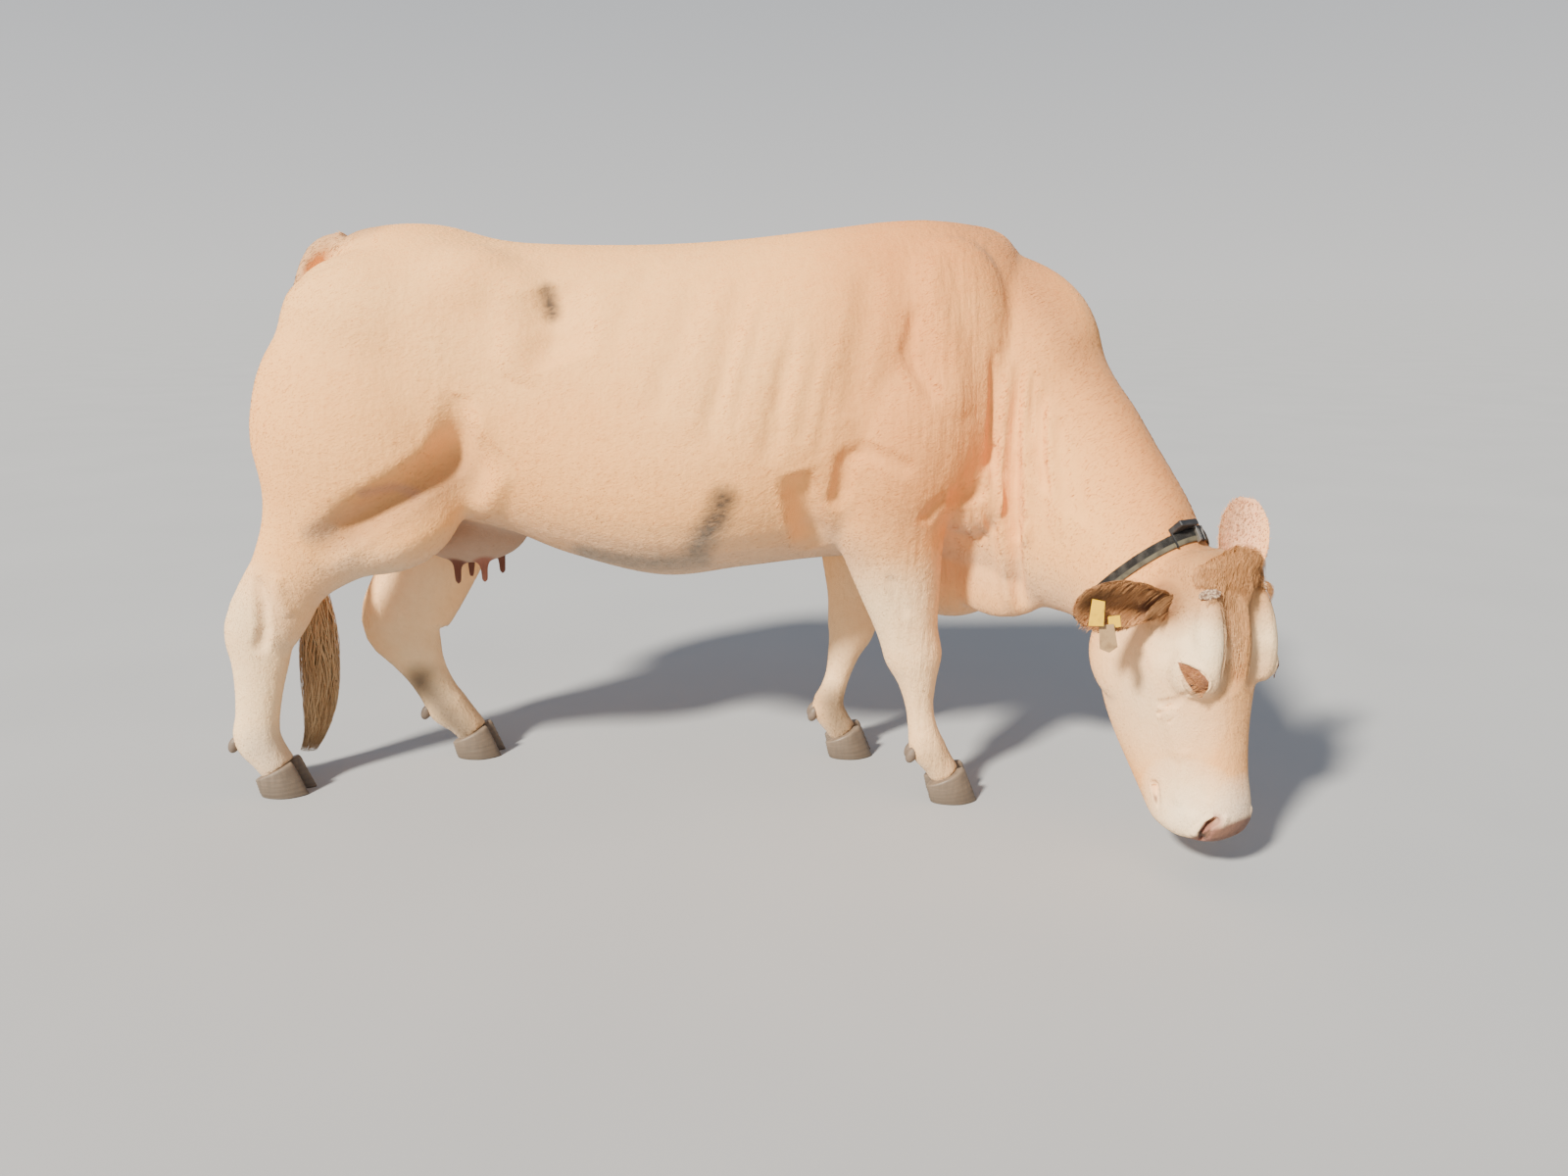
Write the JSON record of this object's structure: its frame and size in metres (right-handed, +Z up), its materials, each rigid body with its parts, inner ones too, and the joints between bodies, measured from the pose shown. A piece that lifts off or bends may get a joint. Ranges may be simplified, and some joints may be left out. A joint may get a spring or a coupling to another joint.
{
  "type": "blonde d aquitaine cattle",
  "caption": "Life-size still model of a cream-coloured beef cow grazing, with its neck bent down and to its right, a strap collar and ear tags.",
  "frame": {"origin": "centre of the bounding box's base, on the floor between the feet", "axes": "+X towards the head, +Y towards the cow's left side, +Z up"},
  "size_m": [2.5044, 1.0196, 1.4211],
  "materials": {
    "skin": "short cream hair, matt",
    "pale_hair": "short whitish hair, matt",
    "switch_hair": "long golden-brown hair",
    "horn": "horn, dull",
    "teat": "bare skin, satin",
    "eye": "wet, glossy",
    "strap": "woven webbing, worn",
    "buckle": "moulded, satin",
    "tag": "moulded, dull yellow",
    "pale_tag": "moulded, weathered beige"
  },
  "bodies": {
    "root": {"collar": "strap", "collar_buckle": "buckle", "ear_tag_button": "tag", "ear_tag_flag": "tag", "ear_tag_pendant": "pale_tag", "far_fore_inner_claw": "horn", "far_fore_lower_leg": "pale_hair", "far_fore_outer_claw": "horn", "far_fore_upper_leg": "skin", "far_hind_inner_claw": "horn", "far_hind_lower_leg": "pale_hair", "far_hind_outer_claw": "horn", "far_hind_upper_leg": "skin", "head": "skin", "left_ear": "skin", "left_eye": "eye", "left_horn_bud": "horn", "near_fore_inner_claw": "horn", "near_fore_lower_leg": "pale_hair", "near_fore_outer_claw": "horn", "near_fore_upper_leg": "skin", "near_hind_inner_claw": "horn", "near_hind_lower_leg": "pale_hair", "near_hind_outer_claw": "horn", "near_hind_upper_leg": "skin", "neck": "skin", "right_ear": "skin", "right_eye": "eye", "right_horn_bud": "horn", "tail": "skin", "tail_switch": "switch_hair", "torso": "skin", "udder": "teat"}
  },
  "joints": []
}
